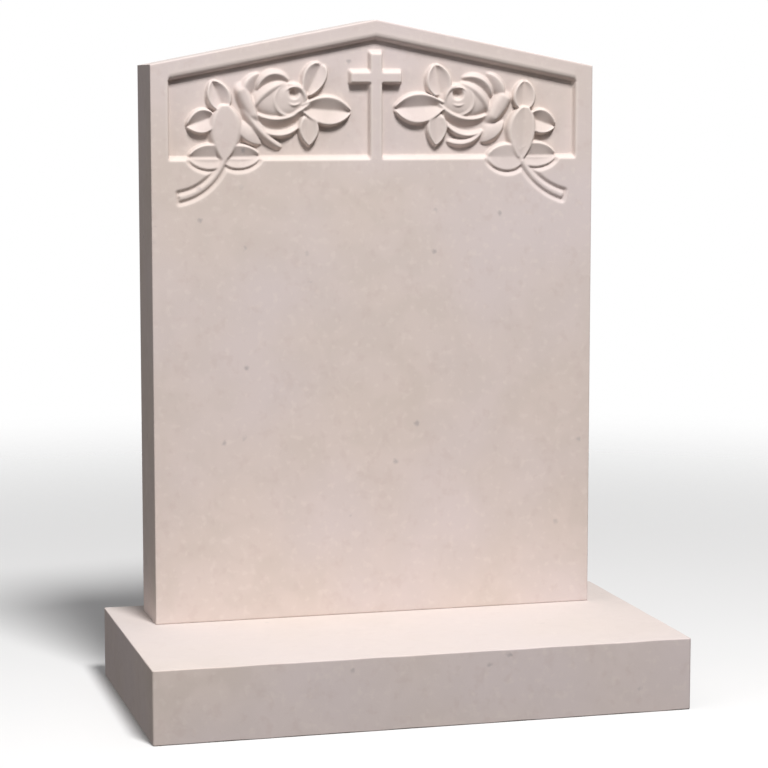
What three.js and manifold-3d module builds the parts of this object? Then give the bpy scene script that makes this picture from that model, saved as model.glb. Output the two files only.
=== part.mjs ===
// A gabled limestone headstone standing on its base. Millimetres, +Z up.
// The origin is the middle of the base's underside, and the carved face looks along -Y.

import * as THREE from 'three';
import { mergeVertices } from 'three/addons/utils/BufferGeometryUtils.js';
import Module from 'manifold-3d';

// Driving sizes of the two slabs
const STONE_WIDTH = 610;
const STONE_THICKNESS = 100;
const EAVE_HEIGHT = 742;
const APEX_HEIGHT = 802;
const BASE_WIDTH = 710;
const BASE_DEPTH = 390;
const BASE_HEIGHT = 95;
const BASE_BEHIND_STONE = 30;
const ARRIS = 1.5;

// Sunk panel across the head of the stone. Heights on the face are measured up from the base.
const PANEL_DEPTH = 10;
const PANEL_SILL = 617;
const PANEL_SIDE_BORDER = 24;
const PANEL_TOP_BORDER = 24.5;
const TOP_SPLAY = 0.6;
const SILL_SPLAY = 5.5;
const SIDE_DRAFT = 1;

// Plain cross left standing in the middle of the panel. Its upper sides are splayed, its undersides steep.
const SHAFT_WIDTH = 16.5;
const SHAFT_TOP = 757;
const ARM_SPAN = 70;
const ARM_LOW = 718.7;
const ARM_HIGH = 732;
const UPPER_SPLAY = 5;
const UNDERSIDE_SPLAY = 1.5;

// How a flank falls over its run: as 1 - u ** power
const STRAIGHT = 1;
const ROLLED = 1.5;
const DOMED = 2.2;
const FLAT = 3;

// Leaves: two lobes that fall from a raised rim to a sunk midrib. Places are fractions of a lobe.
// A pillow leaf has no midrib, and swells evenly from edge to edge.
const RIM_HEIGHT = 9;
const MIDRIB_HEIGHT = 1.5;
const RIM_PLACE = 0.84;
const LOBE_HOLLOW = 1.1;
const LEAF_WIDEST = 0.45;
const LEAF_POINT = 2;
const LEAF_BASE_FADE = 0.09;
const LEAF_TIP_FADE = 0.04;
const LEAF_STATIONS = 9;
const PILLOW_PLACES = [0, 0.4, 0.75, 1];

// Petals: ridges along an arc
const PETAL_PLACES = [-1, -0.7, -0.35, 0, 0.35, 0.7, 1];
const PETAL_STATIONS = 9;
const PETAL_END_POWER = 0.5;

// Turned forms: the mound of the bloom, the bowl cut in its heart, and the knot where the stem starts
const BLOOM_HEIGHT = 8;
const BLOOM_POWER = 4;
const BOWL_DEPTH = 9;
const BOWL_POWER = 4;
const KNOT_POWER = 2;
const TURNED_RINGS = 5;
const TURNED_SIDES = 20;

// Stem and the V-shaped groove that frees the stem and the lowest leaves from the plain face
const STEM_TOP = 9.8;
const STEM_EDGE = 6.8;
const STEM_FLAT_SHARE = 0.35;
const STEM_START_WIDTH = 8.5;
const STEM_END_WIDTH = 12.5;
const STEM_STATIONS = 8;
const GROOVE_FLOOR = 6;
const GROOVE_FLARE = 5;

// How far joined forms reach into the stone, and how far cutters stand out of its face
const ROOT = -3;
const CLEAR_OF_FACE = PANEL_DEPTH + 2;

// The two sprays are cut freehand from one drawing. Places are [distance from the middle, height].
// A leaf's lobes are its two half widths, and a petal's inner and outer are the runs of its flanks.
const SPRAYS = [
  {
    side: -1,
    leaves: {
      inner: { base: [106, 686], tip: [33, 680], lobes: [22, 20], widest: 0.55, point: 1.8 },
      upper: { base: [96, 700], tip: [73, 744], lobes: [15, 19], widest: 0.6, point: 1.2 },
      lower: { base: [93, 682], tip: [92, 634], lobes: [14, 15], widest: 0.5, midrib: 6, baseFade: 0.25 },
      outerUpper: { base: [205, 682], tip: [222.5, 722], lobes: [17, 17], point: 1.3 },
      outer: { base: [218, 675], tip: [257, 661.5], lobes: [17, 18], point: 1.4 },
      crown: {
        base: [207.5, 613], tip: [206, 692], lobes: [27, 22],
        widest: 0.57, point: 1.7, rim: 9.6, midrib: 9.6, rimPlace: 0.6,
      },
      sepal: {
        base: [159, 659], tip: [187, 721], lobes: [9, 12],
        widest: 0.62, point: 1.2, rim: 9.8, pillow: true, baseFade: 0.3, tipFade: 0.2,
      },
    },
    sunkLeaves: {
      footOuter: { base: [203, 621.5], tip: [255, 621.5], lobes: [18.5, 18.5], point: 1.1, midrib: 4 },
      footInner: { base: [211, 621.5], tip: [158.5, 622.5], lobes: [18, 17], point: 1.1, midrib: 4 },
    },
    petals: {
      back: {
        arc: [[161, 708], [143, 730], [118, 720]],
        height: 9.5, inner: 13, outer: 7, innerPower: STRAIGHT,
      },
      cup: { arc: [[167, 684], [149, 707], [120, 718]], height: 9.8, inner: 14, outer: 9 },
      heart: { arc: [[106, 679], [139, 692], [116, 716]], height: 9.8, inner: 10, outer: 6 },
      heartEdge: { arc: [[124, 715], [101, 709], [101, 684]], height: 10, inner: 6, outer: 5 },
      hood: { arc: [[125, 699], [113, 713], [101, 701]], height: 10, inner: 3, outer: 4 },
      lip: { arc: [[101, 698], [112, 689.5], [124, 699]], height: 10, inner: 4, outer: 6 },
      front: {
        arc: [[169, 682], [130, 671], [92, 695]],
        height: 10, inner: 6, outer: 11, outerPower: STRAIGHT,
      },
      sweep: {
        arc: [[124, 674], [104, 682.5], [84, 699]],
        height: 10, inner: 4, outer: 10, outerPower: STRAIGHT,
      },
      lower: { arc: [[164, 664], [131, 649.5], [101, 666]], height: 9, inner: 7, outer: 5 },
      tongue: {
        arc: [[181, 690], [158, 655], [129, 633]],
        height: 9.6, inner: 9, outer: 9, endPower: 0.3,
      },
      side: { arc: [[191, 672], [181, 648], [155, 638]], height: 8, inner: 22, outer: 5, innerPower: FLAT },
      fold: { arc: [[177, 690], [177, 719], [157, 731]], height: 8.5, inner: 15, outer: 5 },
    },
    bloom: { middle: [129, 695], reach: [40, 25] },
    bowl: { middle: [112, 704.5], reach: [8, 8] },
    knot: { middle: [207, 618], reach: [9, 10], height: 10 },
    stem: [[208, 616], [227.7, 587.4], [268, 568]],
  },
  {
    side: 1,
    leaves: {
      inner: { base: [100, 689], tip: [25, 684.5], lobes: [24, 20], widest: 0.55, point: 1.8 },
      upper: { base: [92, 700], tip: [82.5, 744], lobes: [19, 19], point: 1.2 },
      lower: { base: [85, 684], tip: [83.5, 633.5], lobes: [16, 14], widest: 0.5, midrib: 6, baseFade: 0.25 },
      outerUpper: { base: [207, 682], tip: [210, 722.5], lobes: [17, 17], point: 1.1 },
      outer: { base: [214, 673], tip: [254, 660], lobes: [18, 18], point: 1.3 },
      crown: {
        base: [203.5, 612], tip: [210.5, 689], lobes: [25, 18.5],
        widest: 0.57, point: 1.7, rim: 10, midrib: 8, rimPlace: 0.74,
      },
      sepal: {
        base: [155, 659], tip: [187, 709], lobes: [13, 13],
        widest: 0.6, point: 1.2, rim: 9.8, pillow: true, baseFade: 0.3, tipFade: 0.2,
      },
    },
    sunkLeaves: {
      footInner: { base: [208, 619.5], tip: [155, 619.5], lobes: [21, 19], point: 1.1, midrib: 7 },
      footOuter: { base: [200, 621.5], tip: [254, 621.5], lobes: [19.5, 18], point: 1.1, midrib: 4.5 },
    },
    petals: {
      back: {
        arc: [[163, 699], [149, 722], [121, 725]],
        height: 9.5, inner: 13, outer: 7, innerPower: STRAIGHT,
      },
      cup: { arc: [[158, 680], [145, 703], [118, 718]], height: 9.8, inner: 14, outer: 10 },
      heart: { arc: [[106, 679], [136, 692], [116, 714]], height: 9.8, inner: 10, outer: 6 },
      heartEdge: { arc: [[123, 714], [101, 708], [100, 686]], height: 10, inner: 6, outer: 5 },
      hood: { arc: [[128, 698], [115, 712.5], [102, 700]], height: 10, inner: 3, outer: 4 },
      lip: { arc: [[102, 697], [114, 688.5], [127, 698]], height: 10, inner: 4, outer: 6 },
      front: {
        arc: [[158, 677], [121, 671], [84, 699]],
        height: 10, inner: 6, outer: 11, outerPower: STRAIGHT,
      },
      lower: { arc: [[151, 656], [123, 648.5], [96, 669]], height: 9, inner: 7, outer: 5 },
      tongue: {
        arc: [[150, 656], [127, 638], [100, 641]],
        height: 8.5, inner: 9, outer: 5, endPower: 0.3,
      },
      side: { arc: [[180, 668], [168, 648], [147, 639]], height: 8, inner: 22, outer: 5, innerPower: FLAT },
      fold: { arc: [[178, 694], [174, 720], [156, 732]], height: 8.5, inner: 15, outer: 5 },
    },
    bloom: { middle: [123, 694.5], reach: [38, 25] },
    bowl: { middle: [114, 703], reach: [8.5, 8] },
    knot: { middle: [204, 617], reach: [9, 10], height: 9 },
    stem: [[204.5, 615], [226, 587.5], [264, 566.5]],
  },
];

const FACE_Y = BASE_DEPTH / 2 - BASE_BEHIND_STONE - STONE_THICKNESS;

const wasm = await Module();
wasm.setup();

// Closed solids

function solidFrom(geometry) {
  const bare = new THREE.BufferGeometry();
  bare.setAttribute('position', geometry.getAttribute('position').clone());
  bare.setIndex(geometry.getIndex());
  const merged = mergeVertices(bare, 1e-3);
  const corners = merged.getIndex().array;
  const kept = [];
  for (let i = 0; i < corners.length; i += 3) {
    const [a, b, c] = [corners[i], corners[i + 1], corners[i + 2]];
    if (a !== b && b !== c && c !== a) kept.push(a, b, c);
  }
  const mesh = new wasm.Mesh({
    numProp: 3,
    vertProperties: new Float32Array(merged.getAttribute('position').array),
    triVerts: new Uint32Array(kept),
  });
  return new wasm.Manifold(mesh);
}

function geometryFrom(solid) {
  const mesh = solid.getMesh();
  const geometry = new THREE.BufferGeometry();
  geometry.setAttribute('position', new THREE.BufferAttribute(mesh.vertProperties, 3));
  geometry.setIndex(new THREE.BufferAttribute(mesh.triVerts, 1));
  geometry.computeVertexNormals();
  return geometry;
}

// A place on the carved face: across, up from the base, and out from the floor of the panel.
function onFace(across, up, out) {
  return new THREE.Vector3(across, FACE_Y + PANEL_DEPTH - out, BASE_HEIGHT + up);
}

function signedVolume(points, triangles) {
  let total = 0;
  for (const [a, b, c] of triangles) {
    total += points[a].dot(new THREE.Vector3().crossVectors(points[b], points[c]));
  }
  return total / 6;
}

// Joins closed loops of equal length into one skin, with a fan over the first and the last loop.
function loftLoops(loops) {
  const points = loops.flat();
  const size = loops[0].length;
  const last = (loops.length - 1) * size;
  const triangles = [];
  for (let row = 0; row < last; row += size) {
    for (let i = 0; i < size; i++) {
      const next = (i + 1) % size;
      triangles.push([row + i, row + next, row + size + i]);
      triangles.push([row + next, row + size + next, row + size + i]);
    }
  }
  for (let i = 1; i < size - 1; i++) {
    triangles.push([0, i + 1, i]);
    triangles.push([last, last + i, last + i + 1]);
  }
  const outward = signedVolume(points, triangles) > 0;
  const index = triangles.flatMap(([a, b, c]) => (outward ? [a, b, c] : [a, c, b]));
  const geometry = new THREE.BufferGeometry().setFromPoints(points);
  geometry.setIndex(index);
  return solidFrom(geometry);
}

// A strip of carving: each section is a row of face places, closed at one depth in or off the stone.
function strip(sections, closedAt) {
  const loops = sections.map((section) => {
    const first = section[0];
    const last = section[section.length - 1];
    const loop = [...section, [last[0], last[1], closedAt], [first[0], first[1], closedAt]];
    return loop.map(([across, up, out]) => onFace(across, up, out));
  });
  return loftLoops(loops);
}

// A block between two outlines of equal length on the face, at two distances out from the panel floor.
function block(lowOutline, lowOut, highOutline, highOut) {
  const low = lowOutline.map(([across, up]) => onFace(across, up, lowOut));
  const high = highOutline.map(([across, up]) => onFace(across, up, highOut));
  return loftLoops([low, high]);
}

function rectangle(left, right, low, high) {
  return [[left, low], [right, low], [right, high], [left, high]];
}

// Places from 0 to 1, closer together at both ends.
function stations(count) {
  return Array.from({ length: count + 1 }, (_, i) => (1 - Math.cos((Math.PI * i) / count)) / 2);
}

// Rises from 0 to 1 over a length at the base of a leaf, and falls back over another at its tip.
function endFade(t, baseLength, tipLength) {
  const u = Math.min(1, t / baseLength, (1 - t) / tipLength);
  return u * u * (3 - 2 * u);
}

// Leaves

// Half the breadth of a leaf, as a fraction of its widest place, from its base (0) to its tip (1).
function leafBreadth(t, widest, point) {
  const curve = (u) => u ** (point * widest) * (1 - u) ** (point * (1 - widest));
  return curve(t) / curve(widest);
}

// Places across a leaf, from one edge over the midrib to the other.
function leafPlaces(leaf) {
  const rim = leaf.rimPlace ?? RIM_PLACE;
  const lobe = leaf.pillow ? PILLOW_PLACES : [0, rim / 2, rim, (1 + rim) / 2, 1];
  const otherLobe = lobe.slice(1).reverse().map((place) => -place);
  return [...otherLobe, ...lobe];
}

function leafRelief(leaf, place) {
  const away = Math.abs(place);
  const rim = leaf.rim ?? RIM_HEIGHT;
  const midrib = leaf.midrib ?? MIDRIB_HEIGHT;
  const rimPlace = leaf.rimPlace ?? RIM_PLACE;
  if (leaf.pillow) return rim * (1 - away ** FLAT);
  if (away <= rimPlace) return midrib + (rim - midrib) * (away / rimPlace) ** LOBE_HOLLOW;
  return rim * (1 - ((away - rimPlace) / (1 - rimPlace)) ** DOMED);
}

// Sections across a leaf-shaped outline. Each place of a section is a fraction of a lobe, and how far
// out it lies. The outline can be let out past the leaf by a margin all round.
function leafSections(leaf, side, margin, sectionAt) {
  const base = new THREE.Vector2(side * leaf.base[0], leaf.base[1]);
  const tip = new THREE.Vector2(side * leaf.tip[0], leaf.tip[1]);
  const along = tip.clone().sub(base).normalize();
  const across = new THREE.Vector2(-along.y, along.x).multiplyScalar(side);
  const length = base.distanceTo(tip) + 2 * margin;
  const start = base.clone().addScaledVector(along, -margin);
  return stations(LEAF_STATIONS).map((t) => {
    const middle = start.clone().addScaledVector(along, length * t);
    const breadth = leafBreadth(t, leaf.widest ?? LEAF_WIDEST, leaf.point ?? LEAF_POINT);
    return sectionAt(t).map(([place, out]) => {
      const lobe = place > 0 ? leaf.lobes[0] : leaf.lobes[1];
      const spot = middle.clone().addScaledVector(across, place * (lobe + margin) * breadth);
      return [spot.x, spot.y, out];
    });
  });
}

function leafSolid(leaf, side) {
  const places = leafPlaces(leaf);
  const sections = leafSections(leaf, side, 0, (t) => {
    const ends = endFade(t, leaf.baseFade ?? LEAF_BASE_FADE, leaf.tipFade ?? LEAF_TIP_FADE);
    return places.map((place) => [place, leafRelief(leaf, place) * ends]);
  });
  return strip(sections, ROOT);
}

// The flared pocket that a leaf lies in where it runs below the panel.
function leafPocket(leaf, side) {
  const smallLobe = Math.min(...leaf.lobes);
  const floorPlace = smallLobe / (smallLobe + GROOVE_FLARE);
  const sections = leafSections(leaf, side, GROOVE_FLARE, (t) => {
    const cut = (PANEL_DEPTH - GROOVE_FLOOR) * endFade(t, LEAF_BASE_FADE, LEAF_BASE_FADE);
    const floor = PANEL_DEPTH - cut;
    return [[-1, PANEL_DEPTH], [-floorPlace, floor], [floorPlace, floor], [1, PANEL_DEPTH]];
  });
  return strip(sections, CLEAR_OF_FACE);
}

// Arcs, petals and stems

// The circle through three places, with the turn from the first to the last by way of the second.
function arcThrough(places, side) {
  const [a, b, c] = places.map(([across, up]) => new THREE.Vector2(side * across, up));
  const twist = 2 * (a.x * (b.y - c.y) + b.x * (c.y - a.y) + c.x * (a.y - b.y));
  const [aa, bb, cc] = [a.lengthSq(), b.lengthSq(), c.lengthSq()];
  const middle = new THREE.Vector2(
    (aa * (b.y - c.y) + bb * (c.y - a.y) + cc * (a.y - b.y)) / twist,
    (aa * (c.x - b.x) + bb * (a.x - c.x) + cc * (b.x - a.x)) / twist,
  );
  const start = a.clone().sub(middle).angle();
  const end = c.clone().sub(middle).angle();
  const wrap = (angle) => THREE.MathUtils.euclideanModulo(angle, 2 * Math.PI);
  const turn = twist > 0 ? wrap(end - start) : -wrap(start - end);
  return { middle, radius: a.distanceTo(middle), start, turn };
}

function arcSections(arc, count, sectionAt) {
  return stations(count).map((t) => {
    const angle = arc.start + arc.turn * t;
    const outward = new THREE.Vector2(Math.cos(angle), Math.sin(angle));
    return sectionAt(t).map(([offset, out]) => {
      const spot = arc.middle.clone().addScaledVector(outward, arc.radius + offset);
      return [spot.x, spot.y, out];
    });
  });
}

function petalSolid(petal, side) {
  const arc = arcThrough(petal.arc, side);
  const endPower = petal.endPower ?? PETAL_END_POWER;
  const sections = arcSections(arc, PETAL_STATIONS, (t) => {
    const taper = Math.max(0, Math.sin(Math.PI * t)) ** endPower;
    return PETAL_PLACES.map((place) => {
      const run = place < 0 ? petal.inner : petal.outer;
      const power = (place < 0 ? petal.innerPower : petal.outerPower) ?? ROLLED;
      return [place * run * taper, petal.height * taper * (1 - Math.abs(place) ** power)];
    });
  });
  return strip(sections, ROOT);
}

function stemHalf(t) {
  return THREE.MathUtils.lerp(STEM_START_WIDTH, STEM_END_WIDTH, t) / 2;
}

function stemSolid(stem, side) {
  const sections = arcSections(arcThrough(stem, side), STEM_STATIONS, (t) => {
    const half = stemHalf(t);
    const flat = half * STEM_FLAT_SHARE;
    return [[-half, STEM_EDGE], [-flat, STEM_TOP], [flat, STEM_TOP], [half, STEM_EDGE]];
  });
  return strip(sections, 0);
}

// The groove runs on past the cut end of the stem and rises to the face there.
function stemGroove(stem, side) {
  const arc = arcThrough(stem, side);
  arc.turn += (GROOVE_FLARE / arc.radius) * Math.sign(arc.turn);
  const sections = arcSections(arc, STEM_STATIONS, (t) => {
    const half = stemHalf(t);
    const floor = t < 1 ? GROOVE_FLOOR : PANEL_DEPTH;
    const mouth = half + GROOVE_FLARE;
    return [[-mouth, PANEL_DEPTH], [-half, floor], [half, floor], [mouth, PANEL_DEPTH]];
  });
  return strip(sections, CLEAR_OF_FACE);
}

// Turned forms

// Turns a profile of [share of the reach, how far out] about an axis that stands on the panel floor.
function turned(profile, place, side) {
  const points = profile.map(([share, out]) => new THREE.Vector2(share, out));
  const geometry = new THREE.LatheGeometry(points, TURNED_SIDES);
  geometry.scale(place.reach[0], 1, place.reach[1]);
  geometry.rotateX(Math.PI);
  const foot = onFace(side * place.middle[0], place.middle[1], 0);
  geometry.translate(foot.x, foot.y, foot.z);
  return solidFrom(geometry);
}

function ringShares() {
  return Array.from({ length: TURNED_RINGS + 1 }, (_, i) => i / TURNED_RINGS);
}

function mound(place, height, power, side) {
  const skin = ringShares().map((share) => [share, height * (1 - share ** power)]);
  return turned([[0, ROOT], [1, ROOT], ...skin.reverse()], place, side);
}

function bowlCut(place, side) {
  const skin = ringShares().map((share) => [share, PANEL_DEPTH - BOWL_DEPTH * (1 - share ** BOWL_POWER)]);
  return turned([...skin, [1, CLEAR_OF_FACE], [0, CLEAR_OF_FACE]], place, side);
}

// Slabs

function slab(outline, thickness) {
  const shape = new THREE.Shape(outline.map(([across, up]) => new THREE.Vector2(across, up)));
  const geometry = new THREE.ExtrudeGeometry(shape, {
    depth: thickness - 2 * ARRIS,
    bevelEnabled: true,
    bevelThickness: ARRIS,
    bevelSize: ARRIS,
    bevelOffset: -ARRIS,
    bevelSegments: 1,
  });
  geometry.rotateX(Math.PI / 2);
  geometry.translate(0, thickness - ARRIS, 0);
  return geometry;
}

function gabled(halfWidth, foot, eave, apex) {
  return [[-halfWidth, foot], [halfWidth, foot], [halfWidth, eave], [0, apex], [-halfWidth, eave]];
}

function panelPocket() {
  const pitch = (APEX_HEIGHT - EAVE_HEIGHT) / (STONE_WIDTH / 2);
  const half = STONE_WIDTH / 2 - PANEL_SIDE_BORDER;
  const apex = APEX_HEIGHT - PANEL_TOP_BORDER;
  const eave = apex - pitch * half;
  const floorHalf = half - SIDE_DRAFT;
  const floor = gabled(floorHalf, PANEL_SILL + SILL_SPLAY, eave - TOP_SPLAY, apex - TOP_SPLAY);
  const mouth = gabled(half, PANEL_SILL, eave, apex);
  const opening = block(mouth, PANEL_DEPTH, mouth, CLEAR_OF_FACE);
  return block(floor, 0, mouth, PANEL_DEPTH).add(opening);
}

function crossSolid() {
  const half = SHAFT_WIDTH / 2;
  const arm = ARM_SPAN / 2;
  const buriedFoot = PANEL_SILL - SILL_SPLAY;
  const shaftLow = rectangle(-half - SIDE_DRAFT, half + SIDE_DRAFT, buriedFoot, SHAFT_TOP + UPPER_SPLAY);
  const shaftHigh = rectangle(-half, half, buriedFoot, SHAFT_TOP);
  const [armFoot, armHead] = [ARM_LOW - UNDERSIDE_SPLAY, ARM_HIGH + UPPER_SPLAY];
  const armLow = rectangle(-arm - SIDE_DRAFT, arm + SIDE_DRAFT, armFoot, armHead);
  const armHigh = rectangle(-arm, arm, ARM_LOW, ARM_HIGH);
  return block(shaftLow, ROOT, shaftHigh, PANEL_DEPTH).add(block(armLow, ROOT, armHigh, PANEL_DEPTH));
}

function carveSpray(stone, spray) {
  const { side } = spray;
  const sunkLeaves = Object.values(spray.sunkLeaves);
  const hollows = [...sunkLeaves.map((leaf) => leafPocket(leaf, side)), stemGroove(spray.stem, side)];
  const forms = [
    stemSolid(spray.stem, side),
    ...[...Object.values(spray.leaves), ...sunkLeaves].map((leaf) => leafSolid(leaf, side)),
    mound(spray.knot, spray.knot.height, KNOT_POWER, side),
    mound(spray.bloom, BLOOM_HEIGHT, BLOOM_POWER, side),
    ...Object.values(spray.petals).map((petal) => petalSolid(petal, side)),
  ];
  const freed = hollows.reduce((carved, hollow) => carved.subtract(hollow), stone);
  const dressed = forms.reduce((carved, form) => carved.add(form), freed);
  return dressed.subtract(bowlCut(spray.bowl, side));
}

function headstoneGeometry() {
  const geometry = slab(gabled(STONE_WIDTH / 2, 0, EAVE_HEIGHT, APEX_HEIGHT), STONE_THICKNESS);
  geometry.translate(0, FACE_Y, BASE_HEIGHT);
  const panelled = solidFrom(geometry).subtract(panelPocket()).add(crossSolid());
  return geometryFrom(SPRAYS.reduce(carveSpray, panelled));
}

function baseGeometry() {
  const half = BASE_WIDTH / 2;
  const geometry = slab(rectangle(-half, half, 0, BASE_HEIGHT), BASE_DEPTH);
  geometry.translate(0, -BASE_DEPTH / 2, 0);
  return geometryFrom(solidFrom(geometry));
}

const limestone = new THREE.MeshStandardMaterial({ color: 0xd6c9c0, roughness: 0.85, metalness: 0 });

const headstone = new THREE.Mesh(headstoneGeometry(), limestone);
headstone.name = 'headstone';

const base = new THREE.Mesh(baseGeometry(), limestone.clone());
base.name = 'base';

const memorial = new THREE.Group();
memorial.add(base, headstone);

export default memorial;
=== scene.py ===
"""Dresses a gabled limestone headstone: two rose sprays and a cross in a sunk panel, on a plain base slab.

The carved face is one surface. Its relief is a height out from the floor of the panel, worked out for
whole arrays of face places (across from the middle line, up from the base), and it lies on a grid whose
rows and columns run along the edges of the panel and the cross. Sizes are millimetres until they go
into a mesh, which is in metres.
"""

import logging
import math
from dataclasses import dataclass, field
from enum import Enum
from typing import NamedTuple, Optional, Sequence, Union

import bpy
import numpy as np
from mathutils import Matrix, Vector
from numpy.typing import NDArray


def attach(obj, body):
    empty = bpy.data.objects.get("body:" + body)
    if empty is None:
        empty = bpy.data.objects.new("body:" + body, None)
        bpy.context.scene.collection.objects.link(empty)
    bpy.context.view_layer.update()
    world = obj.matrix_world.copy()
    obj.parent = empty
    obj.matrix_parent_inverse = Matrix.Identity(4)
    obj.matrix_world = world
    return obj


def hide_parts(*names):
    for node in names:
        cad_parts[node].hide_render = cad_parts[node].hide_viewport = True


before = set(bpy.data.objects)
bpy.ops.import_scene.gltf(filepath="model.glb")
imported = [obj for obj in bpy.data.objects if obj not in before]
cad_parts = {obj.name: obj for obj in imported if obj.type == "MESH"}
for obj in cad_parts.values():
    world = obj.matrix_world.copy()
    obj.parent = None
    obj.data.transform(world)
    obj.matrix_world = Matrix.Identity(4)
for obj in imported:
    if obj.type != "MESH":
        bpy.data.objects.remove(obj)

Array = NDArray[np.float64]
Place = tuple[float, float]
Point = tuple[float, float, float]
Colour = Point
Socket = bpy.types.NodeSocket
Value = Union[float, tuple, Socket]
Inputs = dict[Union[str, int], Value]

MM = 0.001
TINY = 1e-6
UNCOVERED = -99.0
BODY = "root"
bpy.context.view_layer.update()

log = logging.getLogger("headstone")


# Choices

class Hand(Enum):
    """The half of the face that a spray grows on, seen from the front."""

    LEFT = -1
    RIGHT = 1


class Flank(Enum):
    """How the flank of a petal or the edge of a leaf falls: as 1 - u ** power over its run."""

    STRAIGHT = 1.0
    ROLLED = 1.5
    DOMED = 2.2
    FLAT = 3.0


# Shaping curves

def smoothstep(share: Array) -> Array:
    """Eases a share from 0 to 1, level at both ends: s * s * (3 - 2 * s)."""
    held = np.clip(share, 0.0, 1.0)
    return held * held * (3.0 - 2.0 * held)


def spaced(keys: Sequence[float], pitch: float) -> Array:
    """Fills in between key places, so that no step is longer than the pitch.

    Args:
        keys: places that the result holds, in rising order.
        pitch: the longest step.

    Returns:
        The filled-in places, in rising order.
    """
    spans = zip(keys[:-1], keys[1:])
    runs = [np.linspace(a, b, math.ceil((b - a) / pitch), endpoint=False) for a, b in spans]
    return np.concatenate([*runs, keys[-1:]])


def softened(height: Array, passes: int) -> Array:
    """Blurs a grid: each pass puts every place at the mean of itself and its four neighbours.

    Args:
        height: a grid of heights.
        passes: how many times to spread.

    Returns:
        The blurred grid.
    """
    for _ in range(passes):
        wide = np.pad(height, 1, mode="edge")
        beside = wide[1:-1, :-2] + wide[1:-1, 2:]
        over = wide[:-2, 1:-1] + wide[2:, 1:-1]
        height = (height + beside + over) / 5.0
    return height


# Carved forms

class Spots(NamedTuple):
    """Places on the carved face: distances from the middle line of the stone, and heights above the base."""

    across: Array
    up: Array


@dataclass(frozen=True)
class Arc:
    """A circular arc on the face, with places on it told by the share along it and the offset from it."""

    middle: Place
    radius: float
    start: float
    turn: float

    @classmethod
    def through(cls, places: Sequence[Place]) -> "Arc":
        """Finds the circle through three places.

        Its middle is where the bisectors of the two chords meet, and its turn runs from the first place
        to the last by way of the second.

        Args:
            places: three places, as distance from the middle line and height.

        Returns:
            The arc.
        """
        a, b, c = (np.array(place, dtype=float) for place in places)
        squares = np.array([a @ a, b @ b, c @ c])
        rises = np.array([b[1] - c[1], c[1] - a[1], a[1] - b[1]])
        runs = np.array([c[0] - b[0], a[0] - c[0], b[0] - a[0]])
        twist = 2.0 * (a[0] * rises[0] + b[0] * rises[1] + c[0] * rises[2])
        middle = np.array([squares @ rises, squares @ runs]) / twist
        start, end = (math.atan2(*(p - middle)[::-1]) for p in (a, c))
        turn = (end - start) % math.tau if twist > 0 else -((start - end) % math.tau)
        return cls((middle[0], middle[1]), float(np.hypot(*(a - middle))), start, turn)

    def coordinates(self, spots: Spots) -> tuple[Array, Array]:
        """Gives the share along the arc and the offset away from its middle, for places on the face.

        Args:
            spots: places on the face.

        Returns:
            The shares, 0 to 1 on the arc, and the offsets, positive outside the circle.
        """
        away_x, away_z = spots.across - self.middle[0], spots.up - self.middle[1]
        half_way = self.start + self.turn / 2.0
        swing = np.arctan2(away_z, away_x) - half_way
        swing = (swing + math.pi) % math.tau - math.pi
        return 0.5 + swing / self.turn, np.hypot(away_x, away_z) - self.radius


@dataclass(frozen=True)
class Cut:
    """A cut that frees a form from the plain face, by the heights of face and floor and a flared mouth."""

    face: float
    floor: float
    flare: float


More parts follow.
